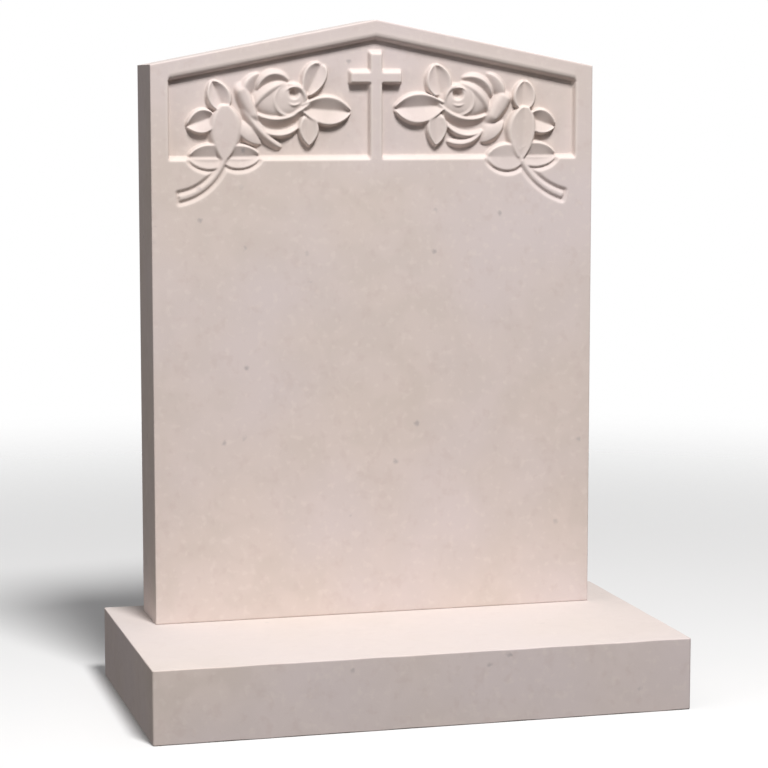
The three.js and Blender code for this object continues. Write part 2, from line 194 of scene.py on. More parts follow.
@dataclass(frozen=True)
class Leaf:
    """A leaf of two lobes that fall from a raised rim to a sunk midrib.

    The lobes are its two half widths. The pointedness sets how fast the ends narrow, and the fades are
    the shares of the length over which the relief rises at the base and sinks at the tip.
    """

    base: Place
    tip: Place
    lobes: Place
    widest: float = 0.45
    pointedness: float = 2.0
    rim: float = 9.0
    midrib: float = 1.5
    rim_place: float = 0.84
    hollow: float = 1.1
    base_fade: float = 0.09
    tip_fade: float = 0.04
    roll: Flank = Flank.DOMED

    def coordinates(self, spots: Spots, margin: float = 0.0) -> tuple[Array, Array, Array]:
        """Places the face on the leaf: the share of its length, and the share of its half breadth.

        The half breadth is u ** (p w) * (1 - u) ** (p (1 - w)), scaled to 1 at the widest place w.

        Args:
            spots: places on the face.
            margin: how far the outline is let out all round.

        Returns:
            The shares of the length, the shares of the half breadth, and the half widths of the lobes.
        """
        foot, point = np.array(self.base, dtype=float), np.array(self.tip, dtype=float)
        bare = float(np.hypot(*(point - foot)))
        along = (point - foot) / bare
        from_x, from_z = spots.across - foot[0], spots.up - foot[1]
        share = (from_x * along[0] + from_z * along[1] + margin) / (bare + 2.0 * margin)
        offset = from_z * along[0] - from_x * along[1]
        lobe = np.where(offset > 0, self.lobes[0], self.lobes[1]) + margin
        to_base, to_tip = self.pointedness * self.widest, self.pointedness * (1.0 - self.widest)

        def narrowing(u: Union[Array, float]) -> Union[Array, float]:
            """Half breadth before it is scaled."""
            return u ** to_base * (1.0 - u) ** to_tip

        breadth = lobe * narrowing(np.clip(share, 0.0, 1.0)) / narrowing(self.widest)
        return share, np.abs(offset) / np.maximum(breadth, TINY), lobe

    def relief(self, spots: Spots) -> Array:
        """Height of the leaf: a hollow from midrib to rim, then a rolled edge down to the ground.

        Inside the rim it is midrib + (rim - midrib) * v ** hollow, and outside it is rim * (1 - w ** roll),
        where v and w run from 0 to 1. Both are eased to nothing at the two ends.

        Args:
            spots: places on the face.

        Returns:
            The heights, far below the ground where the leaf isn't.
        """
        share, place, _ = self.coordinates(spots)
        within = np.clip(place, 0.0, self.rim_place) / self.rim_place
        beyond = np.clip(place - self.rim_place, 0.0, 1.0) / (1.0 - self.rim_place)
        lobe = self.midrib + (self.rim - self.midrib) * within ** self.hollow
        edge = self.rim * (1.0 - beyond ** self.roll.value)
        ends = smoothstep(np.minimum(share / self.base_fade, (1.0 - share) / self.tip_fade))
        height = np.where(place <= self.rim_place, lobe, edge) * ends
        return np.where((share > 0) & (share < 1) & (place < 1), height, UNCOVERED)

    def pocket(self, spots: Spots, cut: Cut) -> Array:
        """Frees the leaf from the plain face: a flat floor that rises to the face at its mouth.

        Args:
            spots: places on the face.
            cut: depth and flare of the pocket.

        Returns:
            The heights that the stone is cut down to, far above the face where it isn't cut.
        """
        share, place, lobe = self.coordinates(spots, cut.flare)
        foot = (lobe - cut.flare) / lobe
        ends = smoothstep(np.minimum(share, 1.0 - share) / self.base_fade)
        bottom = cut.face - (cut.face - cut.floor) * ends
        height = bottom + (cut.face - bottom) * np.clip((place - foot) / (1.0 - foot), 0.0, 1.0)
        return np.where((share > 0) & (share < 1) & (place < 1), height, -UNCOVERED)


@dataclass(frozen=True)
class Petal:
    """A ridge along an arc, with a flank on each side of it: height * taper * (1 - (s / run) ** power)."""

    arc: Sequence[Place]
    height: float
    inner: float
    outer: float
    inner_flank: Flank = Flank.ROLLED
    outer_flank: Flank = Flank.ROLLED
    end_power: float = 0.5

    def relief(self, spots: Spots) -> Array:
        """Height of the petal, whose ridge and flanks taper as sin(pi t) ** end_power to both ends.

        Args:
            spots: places on the face.

        Returns:
            The heights, far below the ground where the petal isn't.
        """
        share, offset = Arc.through(self.arc).coordinates(spots)
        taper = np.sin(math.pi * np.clip(share, 0.0, 1.0)).clip(0.0) ** self.end_power
        run = np.where(offset < 0, self.inner, self.outer) * taper
        power = np.where(offset < 0, self.inner_flank.value, self.outer_flank.value)
        fall = np.abs(offset) / np.maximum(run, TINY)
        height = self.height * taper * (1.0 - np.minimum(fall, 1.0) ** power)
        return np.where((share > 0) & (share < 1) & (fall < 1), height, UNCOVERED)


@dataclass(frozen=True)
class Mound:
    """A turned form on an oval plan: height * (1 - r ** power), where r is 1 at its reach."""

    middle: Place
    reach: Place
    height: float
    power: float = 2.0

    def relief(self, spots: Spots) -> Array:
        """Height of the mound.

        Args:
            spots: places on the face.

        Returns:
            The heights, far below the ground where the mound isn't.
        """
        away_x = (spots.across - self.middle[0]) / self.reach[0]
        away_z = (spots.up - self.middle[1]) / self.reach[1]
        ring = np.hypot(away_x, away_z)
        return np.where(ring < 1, self.height * (1.0 - ring ** self.power), UNCOVERED)


@dataclass(frozen=True)
class Stem:
    """A cut stem along an arc, with a flat top that is a share of its width, lying in a flared groove."""

    arc: Sequence[Place]
    start_width: float = 8.5
    end_width: float = 12.5
    top: float = 9.8
    edge: float = 6.8
    flat: float = 0.35

    def half_width(self, share: Array) -> Array:
        """Half the width of the stem, which grows evenly from its start to its end."""
        return (self.start_width + (self.end_width - self.start_width) * np.clip(share, 0.0, 1.0)) / 2.0

    def relief(self, spots: Spots) -> Array:
        """Height of the stem: level over its flat share, then straight down to the edge height.

        Args:
            spots: places on the face.

        Returns:
            The heights, far below the ground where the stem isn't.
        """
        share, offset = Arc.through(self.arc).coordinates(spots)
        half = self.half_width(share)
        height = np.interp(np.abs(offset) / half, [self.flat, 1.0], [self.top, self.edge])
        return np.where((share > 0) & (share < 1) & (np.abs(offset) < half), height, UNCOVERED)

    def groove(self, spots: Spots, cut: Cut) -> Array:
        """Frees the stem from the plain face, along it and past its end, rising to the face over the flare.

        Args:
            spots: places on the face.
            cut: depth and flare of the groove.

        Returns:
            The heights that the stone is cut down to, far above the face where it isn't cut.
        """
        arc = Arc.through(self.arc)
        share, offset = arc.coordinates(spots)
        past_end = np.maximum(share - 1.0, 0.0) * abs(arc.turn) * arc.radius
        away = np.hypot(np.maximum(np.abs(offset) - self.half_width(share), 0.0), past_end)
        height = cut.floor + (cut.face - cut.floor) * np.clip(away / cut.flare, 0.0, 1.0)
        return np.where((share > 0) & (away < cut.flare), height, -UNCOVERED)


@dataclass(frozen=True)
class Spray:
    """A rose with its leaves and stem, cut freehand on one half of the face.

    Its forms are placed by their distance from the middle line, so they see the face with that half
    turned to the right.
    """

    hand: Hand
    leaves: dict[str, Leaf]
    sunk_leaves: dict[str, Leaf]
    petals: dict[str, Petal]
    bloom: Mound
    bowl: Mound
    knot: Mound
    stem: Stem
    groove_floor: float = 6.0
    groove_flare: float = 5.0

    def carve(self, stone: Array, spots: Spots, face: float) -> Array:
        """Carves the spray: grooves are the lower of two heights, raised forms the higher.

        Args:
            stone: heights of the stone before.
            spots: places on the face.
            face: height of the plain face.

        Returns:
            The heights of the stone with the spray.
        """
        own = Spots(self.hand.value * spots.across, spots.up)
        cut = Cut(face, self.groove_floor, self.groove_flare)
        hollows = [leaf.pocket(own, cut) for leaf in self.sunk_leaves.values()]
        hollows.append(self.stem.groove(own, cut))
        forms = [self.stem, *self.leaves.values(), *self.sunk_leaves.values(), self.knot, self.bloom]
        forms += self.petals.values()
        freed = np.minimum.reduce([stone, *hollows])
        raised = np.maximum.reduce([freed, *(form.relief(own) for form in forms)])
        return np.minimum(raised, face - self.bowl.relief(own))


def left_spray() -> Spray:
    """The spray on the left half of the face."""
    return Spray(
        hand=Hand.LEFT,
        leaves={
            "inner": Leaf((106, 686), (33, 680), (22, 20), widest=0.55, pointedness=1.8),
            "upper": Leaf((96, 700), (73, 744), (15, 19), widest=0.6, pointedness=1.2),
            "lower": Leaf((93, 682), (92, 634), (14, 15), widest=0.5, midrib=6, base_fade=0.25),
            "outer_upper": Leaf((205, 682), (222.5, 722), (17, 17), pointedness=1.3),
            "outer": Leaf((218, 675), (257, 661.5), (17, 18), pointedness=1.4),
            "crown": Leaf((207.5, 613), (206, 692), (27, 22), 0.57, 1.7, 9.6, 9.6, rim_place=0.6),
            "sepal": Leaf(
                (159, 659), (187, 721), (9, 12), 0.62, 1.2, 9.8, 9.8,
                rim_place=0.02, base_fade=0.3, tip_fade=0.2, roll=Flank.FLAT,
            ),
        },
        sunk_leaves={
            "foot_outer": Leaf((203, 621.5), (255, 621.5), (18.5, 18.5), pointedness=1.1, midrib=4),
            "foot_inner": Leaf((211, 621.5), (158.5, 622.5), (18, 17), pointedness=1.1, midrib=4),
        },
        petals={
            "back": Petal(((161, 708), (143, 730), (118, 720)), 9.5, 13, 7, inner_flank=Flank.STRAIGHT),
            "cup": Petal(((167, 684), (149, 707), (120, 718)), 9.8, 14, 9),
            "heart": Petal(((106, 679), (139, 692), (116, 716)), 9.8, 10, 6),
            "heart_edge": Petal(((124, 715), (101, 709), (101, 684)), 10, 6, 5),
            "hood": Petal(((125, 699), (113, 713), (101, 701)), 10, 3, 4),
            "lip": Petal(((101, 698), (112, 689.5), (124, 699)), 10, 4, 6),
            "front": Petal(((169, 682), (130, 671), (92, 695)), 10, 6, 11, outer_flank=Flank.STRAIGHT),
            "sweep": Petal(((124, 674), (104, 682.5), (84, 699)), 10, 4, 10, outer_flank=Flank.STRAIGHT),
            "lower": Petal(((164, 664), (131, 649.5), (101, 666)), 9, 7, 5),
            "tongue": Petal(((181, 690), (158, 655), (129, 633)), 9.6, 9, 9, end_power=0.3),
            "side": Petal(((191, 672), (181, 648), (155, 638)), 8, 22, 5, inner_flank=Flank.FLAT),
            "fold": Petal(((177, 690), (177, 719), (157, 731)), 8.5, 15, 5),
        },
        bloom=Mound((129, 695), (40, 25), 8.0, power=4.0),
        bowl=Mound((112, 704.5), (8, 8), 9.0, power=4.0),
        knot=Mound((207, 618), (9, 10), 10.0),
        stem=Stem(((208, 616), (227.7, 587.4), (268, 568))),
    )


def right_spray() -> Spray:
    """The spray on the right half of the face."""
    return Spray(
        hand=Hand.RIGHT,
        leaves={
            "inner": Leaf((100, 689), (25, 684.5), (24, 20), widest=0.55, pointedness=1.8),
            "upper": Leaf((92, 700), (82.5, 744), (19, 19), pointedness=1.2),
            "lower": Leaf((85, 684), (83.5, 633.5), (16, 14), widest=0.5, midrib=6, base_fade=0.25),
            "outer_upper": Leaf((207, 682), (210, 722.5), (17, 17), pointedness=1.1),
            "outer": Leaf((214, 673), (254, 660), (18, 18), pointedness=1.3),
            "crown": Leaf((203.5, 612), (210.5, 689), (25, 18.5), 0.57, 1.7, 10, 8, rim_place=0.74),
            "sepal": Leaf(
                (155, 659), (187, 709), (13, 13), 0.6, 1.2, 9.8, 9.8,
                rim_place=0.02, base_fade=0.3, tip_fade=0.2, roll=Flank.FLAT,
            ),
        },
        sunk_leaves={
            "foot_inner": Leaf((208, 619.5), (155, 619.5), (21, 19), pointedness=1.1, midrib=7),
            "foot_outer": Leaf((200, 621.5), (254, 621.5), (19.5, 18), pointedness=1.1, midrib=4.5),
        },
        petals={
            "back": Petal(((163, 699), (149, 722), (121, 725)), 9.5, 13, 7, inner_flank=Flank.STRAIGHT),
            "cup": Petal(((158, 680), (145, 703), (118, 718)), 9.8, 14, 10),
            "heart": Petal(((106, 679), (136, 692), (116, 714)), 9.8, 10, 6),
            "heart_edge": Petal(((123, 714), (101, 708), (100, 686)), 10, 6, 5),
            "hood": Petal(((128, 698), (115, 712.5), (102, 700)), 10, 3, 4),
            "lip": Petal(((102, 697), (114, 688.5), (127, 698)), 10, 4, 6),
            "front": Petal(((158, 677), (121, 671), (84, 699)), 10, 6, 11, outer_flank=Flank.STRAIGHT),
            "lower": Petal(((151, 656), (123, 648.5), (96, 669)), 9, 7, 5),
            "tongue": Petal(((150, 656), (127, 638), (100, 641)), 8.5, 9, 5, end_power=0.3),
            "side": Petal(((180, 668), (168, 648), (147, 639)), 8, 22, 5, inner_flank=Flank.FLAT),
            "fold": Petal(((178, 694), (174, 720), (156, 732)), 8.5, 15, 5),
        },
        bloom=Mound((123, 694.5), (38, 25), 8.0, power=4.0),
        bowl=Mound((114, 703), (8.5, 8), 9.0, power=4.0),
        knot=Mound((204, 617), (9, 10), 9.0),
        stem=Stem(((204.5, 615), (226, 587.5), (264, 566.5))),
    )


@dataclass(frozen=True)
class SunkPanel:
    """The panel sunk across the head of the stone, under a border that follows the gable."""

    depth: float = 10.0
    sill: float = 617.0
    half_width: float = 281.0
    apex: float = 777.5
    top_splay: float = 0.6
    sill_splay: float = 5.5
    side_draft: float = 1.0

    def head(self, across: Array, pitch: float) -> Array:
        """Height of the top edge of the panel, which falls with the gable from its apex."""
        return self.apex - pitch * np.abs(across)

    def relief(self, spots: Spots, pitch: float) -> Array:
        """Height of the plain face, and of the walls that slope from it to the floor of the panel.

        Each wall falls evenly from the face to the floor over its splay, and the highest one counts.

        Args:
            spots: places on the face.
            pitch: fall of the gable for each millimetre across.

        Returns:
            The heights out from the floor of the panel.
        """
        from_side = (self.half_width - np.abs(spots.across)) / self.side_draft
        from_sill = (spots.up - self.sill) / self.sill_splay
        from_head = (self.head(spots.across, pitch) - spots.up) / self.top_splay
        inside = np.minimum.reduce([from_side, from_sill, from_head])
        return self.depth * (1.0 - np.clip(inside, 0.0, 1.0))


@dataclass(frozen=True)
class PlainCross:
    """The plain cross left standing in the middle of the panel, splayed above and steep below."""

    shaft_width: float = 16.5
    shaft_top: float = 757.0
    arm_span: float = 70.0
    arm_low: float = 718.7
    arm_high: float = 732.0
    low_splay: float = 1.5
    high_splay: float = 5.0
    draft: float = 1.0

    def relief(self, spots: Spots, foot: float, depth: float) -> Array:
        """Height of the cross: level on its front, with walls that fall evenly over draft or splay.

        Args:
            spots: places on the face.
            foot: height that the shaft stands on.
            depth: height of its front.

        Returns:
            The heights out from the floor of the panel.
        """
        away, up = np.abs(spots.across), spots.up
        shaft_sides = (away - self.shaft_width / 2.0) / self.draft
        shaft = np.maximum(shaft_sides, (up - self.shaft_top) / self.high_splay)
        shaft = np.where(up < foot, 1.0, shaft)
        arm_ends = (away - self.arm_span / 2.0) / self.draft
        above, below = (up - self.arm_high) / self.high_splay, (self.arm_low - up) / self.low_splay
        arms = np.maximum.reduce([arm_ends, above, below])
        return depth * (1.0 - np.clip(np.minimum(shaft, arms), 0.0, 1.0))

    def key_columns(self) -> list[float]:
        """Distances from the middle line that the upright edges lie on."""
        shaft, arm = self.shaft_width / 2.0, self.arm_span / 2.0
        return [shaft, shaft + self.draft, arm, arm + self.draft]

    def key_rows(self) -> list[tuple[float, float]]:
        """Heights of the level edges, each with how far from the middle line the edge reaches."""
        shaft, arm = self.shaft_width / 2.0 + self.draft, self.arm_span / 2.0 + self.draft
        arm_rows = [self.arm_low - self.low_splay, self.arm_low]
        arm_rows += [self.arm_high, self.arm_high + self.high_splay]
        shaft_rows = [self.shaft_top, self.shaft_top + self.high_splay]
        return [*((row, arm) for row in arm_rows), *((row, shaft) for row in shaft_rows)]


# Meshes

def between_loops(lower: Array, upper: Array) -> Array:
    """Quads between two closed loops of equal length, given as vertex numbers."""
    return np.stack([lower, np.roll(lower, -1), np.roll(upper, -1), upper], axis=1)


def fan(loop: Array, middle: int) -> Array:
    """Triangles from each edge of a closed loop to one vertex, given as vertex numbers."""
    return np.stack([loop, np.roll(loop, -1), np.full_like(loop, middle)], axis=1)


def new_mesh(name: str, points: Array, patches: Sequence[tuple[Array, bool]]) -> bpy.types.Object:
    """Makes an object at the origin from points in millimetres and patches of faces.

    Args:
        name: name of the object and its mesh.
        points: vertices, one row each.
        patches: arrays of vertex numbers, one row for each face, and whether the patch is shaded smooth.

    Returns:
        The object, linked into the scene.
    """
    mesh = bpy.data.meshes.new(name)
    faces = [face for patch, _ in patches for face in patch.tolist()]
    mesh.from_pydata((points * MM).tolist(), [], faces)
    smooth = np.concatenate([np.full(len(patch), is_smooth) for patch, is_smooth in patches])
    mesh.polygons.foreach_set("use_smooth", smooth)
    mesh.validate()
    piece = bpy.data.objects.new(name, mesh)
    bpy.context.scene.collection.objects.link(piece)
    return piece


def set_value_layer(piece: bpy.types.Object, name: str, values: Array) -> None:
    """Stores one number for each vertex of a piece, for its material to read."""
    layer = piece.data.attributes.new(name, "FLOAT", "POINT")
    layer.data.foreach_set("value", values.astype(np.float32))


# Node groups

@dataclass(frozen=True)
class Noise:
    """Soft noise at so many waves a metre, of which the part between two levels is kept."""

    waves: float
    levels: Place
    shift: float = 0.0
    detail: float = 2.0
    distortion: float = 0.0


@dataclass(frozen=True)
class Dots:
    """Round dots at the points of cells, so many cells a metre.

    A cell has a dot where its own number, a channel of its colour, lies high between two levels. The
    dot fades from its edge to its full place, in shares of a cell.
    """

    cells: float
    channel: int
    levels: Place
    fade: Place


CLOUDS = Noise(20.0, (0.36, 0.64), distortion=0.6)
TONE = Noise(4.0, (0.3, 0.7))
PALE_FLECKS = Noise(90.0, (0.54, 0.74), shift=3.1)
PINK_FLECKS = Noise(70.0, (0.55, 0.74), shift=7.7)
SPOTS = Dots(34.0, 0, (0.78, 0.86), (0.19, 0.02))
PITS = Dots(90.0, 1, (0.8, 0.84), (0.1, 0.02))
RAGGED_WAVES = 160.0
RAGGED_REACH = 0.006
FINE_GRAIN_WAVES = 700.0
FINE_GRAIN_DETAIL = 3.0
BROAD_GRAIN_WAVES = 120.0
BROAD_GRAIN_SHARE = 0.4


class NodeSheet:
    """A node tree, with short ways to add and join its nodes."""

    def __init__(self, tree: bpy.types.NodeTree) -> None:
        """Takes over a tree and empties it."""
        self.tree = tree
        tree.nodes.clear()

    def add(self, kind: str, inputs: Optional[Inputs] = None, **settings: object) -> bpy.types.Node:
        """Adds a node.

        Args:
            kind: Blender's name for the kind of node.
            inputs: by socket name or number, either a value or another node's output to join.
            settings: properties of the node.

        Returns:
            The node.
        """
        node = self.tree.nodes.new(kind)
        for name, setting in settings.items():
            setattr(node, name, setting)
        for name, given in (inputs or {}).items():
            if isinstance(given, bpy.types.NodeSocket):
                self.tree.links.new(given, node.inputs[name])
            else:
                node.inputs[name].default_value = given
        return node

    def math(self, operation: str, a: Value, b: Value) -> Socket:
        """Works out one number from two, held between 0 and 1."""
        return self.add("ShaderNodeMath", {0: a, 1: b}, operation=operation, use_clamp=True).outputs[0]

    def vector(self, operation: str, a: Value, b: Value) -> Socket:
        """Works out one vector from two."""
        return self.add("ShaderNodeVectorMath", {0: a, 1: b}, operation=operation).outputs[0]

    def blend(self, share: Value, low: Value, high: Value) -> Socket:
        """Mixes two colours: low where the share is 0 and high where it is 1."""
        node = self.add("ShaderNodeMix", {0: share, 6: low, 7: high}, data_type="RGBA")
        return node.outputs[2]

    def spread(self, value: Value, low: float, high: float) -> Socket:
        """Stretches a value so that low comes out as 0 and high as 1, eased at both ends."""
        inputs = {"Value": value, "From Min": low, "From Max": high}
        return self.add("ShaderNodeMapRange", inputs, interpolation_type="SMOOTHSTEP").outputs[0]

    def shifted_place(self) -> Socket:
        """The place on the object, moved on by the group's own shift."""
        given, place = self.add("NodeGroupInput"), self.add("ShaderNodeTexCoord")
        return self.vector("ADD", place.outputs["Object"], given.outputs["Shift"])

    def noise(self, place: Socket, waves: float, detail: float) -> bpy.types.Node:
        """Adds noise at so many waves a metre."""
        return self.add("ShaderNodeTexNoise", {"Vector": place, "Scale": waves, "Detail": detail})

    def noise_mask(self, place: Socket, kind: Noise) -> Socket:
        """Makes a mask of noise.

        Args:
            place: where the noise is read.
            kind: what the noise is like.

        Returns:
            The mask, 0 at the lower of the two levels and 1 at the higher.
        """
        node = self.noise(self.vector("ADD", place, (kind.shift,) * 3), kind.waves, kind.detail)
        node.inputs["Distortion"].default_value = kind.distortion
        return self.spread(node.outputs["Fac"], *kind.levels)

    def dots_mask(self, place: Socket, kind: Dots) -> Socket:
        """Makes a mask of dots.

        Args:
            place: where the dots are read.
            kind: what the dots are like.

        Returns:
            The mask, 1 in the middle of a dot.
        """
        cells = self.add("ShaderNodeTexVoronoi", {"Vector": place, "Scale": kind.cells})
        number = self.add("ShaderNodeSeparateColor", {0: cells.outputs["Color"]}).outputs[kind.channel]
        near = self.spread(cells.outputs["Distance"], *kind.fade)
        return self.math("MULTIPLY", self.spread(number, *kind.levels), near)


def new_group(name: str, outputs: Sequence[str]) -> NodeSheet:
    """Makes an empty shader node group that takes a shift and gives numbers.

    Args:
        name: name of the group.
        outputs: names of the output sockets.

    Returns:
        The sheet of the group's tree.
    """
    tree = bpy.data.node_groups.new(name, "ShaderNodeTree")
    tree.interface.new_socket("Shift", in_out="INPUT", socket_type="NodeSocketVector")
    for socket in outputs:
        tree.interface.new_socket(socket, in_out="OUTPUT", socket_type="NodeSocketFloat")
    return NodeSheet(tree)


def stone_pattern_group() -> bpy.types.NodeTree:
    """Patterns of the stone as masks: clouds, a broad tone, pale and pink flecks, and sparse grey spots.

    Clouds and tone are noise of about 50 and 250 mm, and flecks are the peaks of noise of about 12 mm. Spots
    are dots of which finer noise makes the outline ragged.

    Returns:
        The group's tree.
    """
    sheet = new_group("stone pattern", ("Clouds", "Tone", "Pale", "Pink", "Spots"))
    place = sheet.shifted_place()
    wobble = sheet.noise(place, RAGGED_WAVES, 1.0).outputs["Color"]
    ragged = sheet.vector("ADD", place, sheet.vector("MULTIPLY", wobble, (RAGGED_REACH,) * 3))
    sheet.add("NodeGroupOutput", {
        "Clouds": sheet.noise_mask(place, CLOUDS),
        "Tone": sheet.noise_mask(place, TONE),
        "Pale": sheet.noise_mask(place, PALE_FLECKS),
        "Pink": sheet.noise_mask(place, PINK_FLECKS),
        "Spots": sheet.dots_mask(ragged, SPOTS),
    })
    return sheet.tree


def stone_grain_group() -> bpy.types.NodeTree:
    """Height of the rubbed grain: fine noise of about 1 mm over broader noise, with a few small pits.

    Returns:
        The group's tree.
    """
    sheet = new_group("stone grain", ("Height",))
    place = sheet.shifted_place()
    fine = sheet.noise(place, FINE_GRAIN_WAVES, FINE_GRAIN_DETAIL).outputs["Fac"]
    broad = sheet.noise(place, BROAD_GRAIN_WAVES, 2.0).outputs["Fac"]
    layers = {0: BROAD_GRAIN_SHARE, 2: fine, 3: broad}
    both = sheet.add("ShaderNodeMix", layers, data_type="FLOAT").outputs[0]
    sheet.add("NodeGroupOutput", {"Height": sheet.math("SUBTRACT", both, sheet.dots_mask(place, PITS))})
    return sheet.tree


@dataclass(frozen=True)
class Limestone:
    """A pale, fine-grained limestone, sawn and rubbed smooth.

    Colours are linear. Each tint has the share of it that shows at the strongest place of its pattern. The
    tint on faces that look up is painted light: a paler colour that comes in as they turn upward.
    """

    name: str
    shift: Point
    body: Colour = (0.70, 0.592, 0.537)
    cloud: Colour = (0.64, 0.545, 0.487)
    tone: Colour = (0.70, 0.605, 0.595)
    pale: Colour = (0.80, 0.70, 0.64)
    pink: Colour = (0.58, 0.455, 0.42)
    spot: Colour = (0.36, 0.32, 0.32)
    cloud_share: float = 0.55
    tone_share: float = 0.8
    pale_share: float = 0.3
    pink_share: float = 0.22
    spot_share: float = 0.6
    # Painted light: a paler, less saturated tint laid on faces that look up, stronger as they turn upward.
    painted_top_light: Colour = (0.72, 0.655, 0.62)
    painted_top_light_share: float = 0.6
    painted_top_light_rise: Place = (0.8, 0.98)
    # Painted highlight on raised edges and painted shade in hollows of the carving.
    rim_highlight_share: float = 0.5
    hollow_shade_share: float = 0.35
    roughness: float = 0.82
    specular: float = 0.3
    grain_strength: float = 0.25
    grain_depth: float = 0.0006

    def material(self, pattern: bpy.types.NodeTree, grain: bpy.types.NodeTree) -> bpy.types.Material:
        """Makes the material: tints laid over the body colour one by one, with painted light on faces that
        look up, a painted highlight on raised edges and painted shade in hollows, and the grain as a bump.

        Args:
            pattern: the group of the stone's patterns.
            grain: the group of the stone's grain.

        Returns:
            The material.
        """
        material = bpy.data.materials.new(self.name)
        material.use_nodes = True
        sheet = NodeSheet(material.node_tree)
        marks = sheet.add("ShaderNodeGroup", node_tree=pattern)
        marks.inputs["Shift"].default_value = self.shift
        rubbed = sheet.add("ShaderNodeGroup", node_tree=grain)
        rubbed.inputs["Shift"].default_value = self.shift
        colour: Value = (*self.body, 1.0)
        layers = [
            ("Clouds", self.cloud_share, self.cloud),
            ("Tone", self.tone_share, self.tone),
            ("Pale", self.pale_share, self.pale),
            ("Pink", self.pink_share, self.pink),
            ("Spots", self.spot_share, self.spot),
        ]
        for mask, share, tint in layers:
            strength = sheet.math("MULTIPLY", marks.outputs[mask], share)
            colour = sheet.blend(strength, colour, (*tint, 1.0))
        # Painted light: faces that look up are made paler as they turn upward.
        normal = sheet.add("ShaderNodeTexCoord").outputs["Normal"]
        upward = sheet.add("ShaderNodeSeparateXYZ", {0: normal}).outputs["Z"]
        painted_top_light = sheet.math("MULTIPLY", sheet.spread(upward, *self.painted_top_light_rise), self.painted_top_light_share)
        colour = sheet.blend(painted_top_light, colour, (*self.painted_top_light, 1.0))
        # These layers are a painted highlight on raised edges and painted shade in hollows, read from the rim
        # and hollow values.
        worn = (("rim", self.rim_highlight_share, self.pale), ("hollow", self.hollow_shade_share, self.cloud))
        for layer, share, tint in worn:
            mask = sheet.add("ShaderNodeAttribute", attribute_name=layer).outputs["Fac"]
            colour = sheet.blend(sheet.math("MULTIPLY", mask, share), colour, (*tint, 1.0))
        bump_inputs = {
            "Strength": self.grain_strength,
            "Distance": self.grain_depth,
            "Height": rubbed.outputs["Height"],
        }
        bump = sheet.add("ShaderNodeBump", bump_inputs)
        surface = sheet.add("ShaderNodeBsdfPrincipled", {
            "Base Color": colour,
            "Roughness": self.roughness,
            "Specular IOR Level": self.specular,
            "Normal": bump.outputs["Normal"],
        })
        sheet.add("ShaderNodeOutputMaterial", {"Surface": surface.outputs["BSDF"]})
        return material


# Sub-assemblies

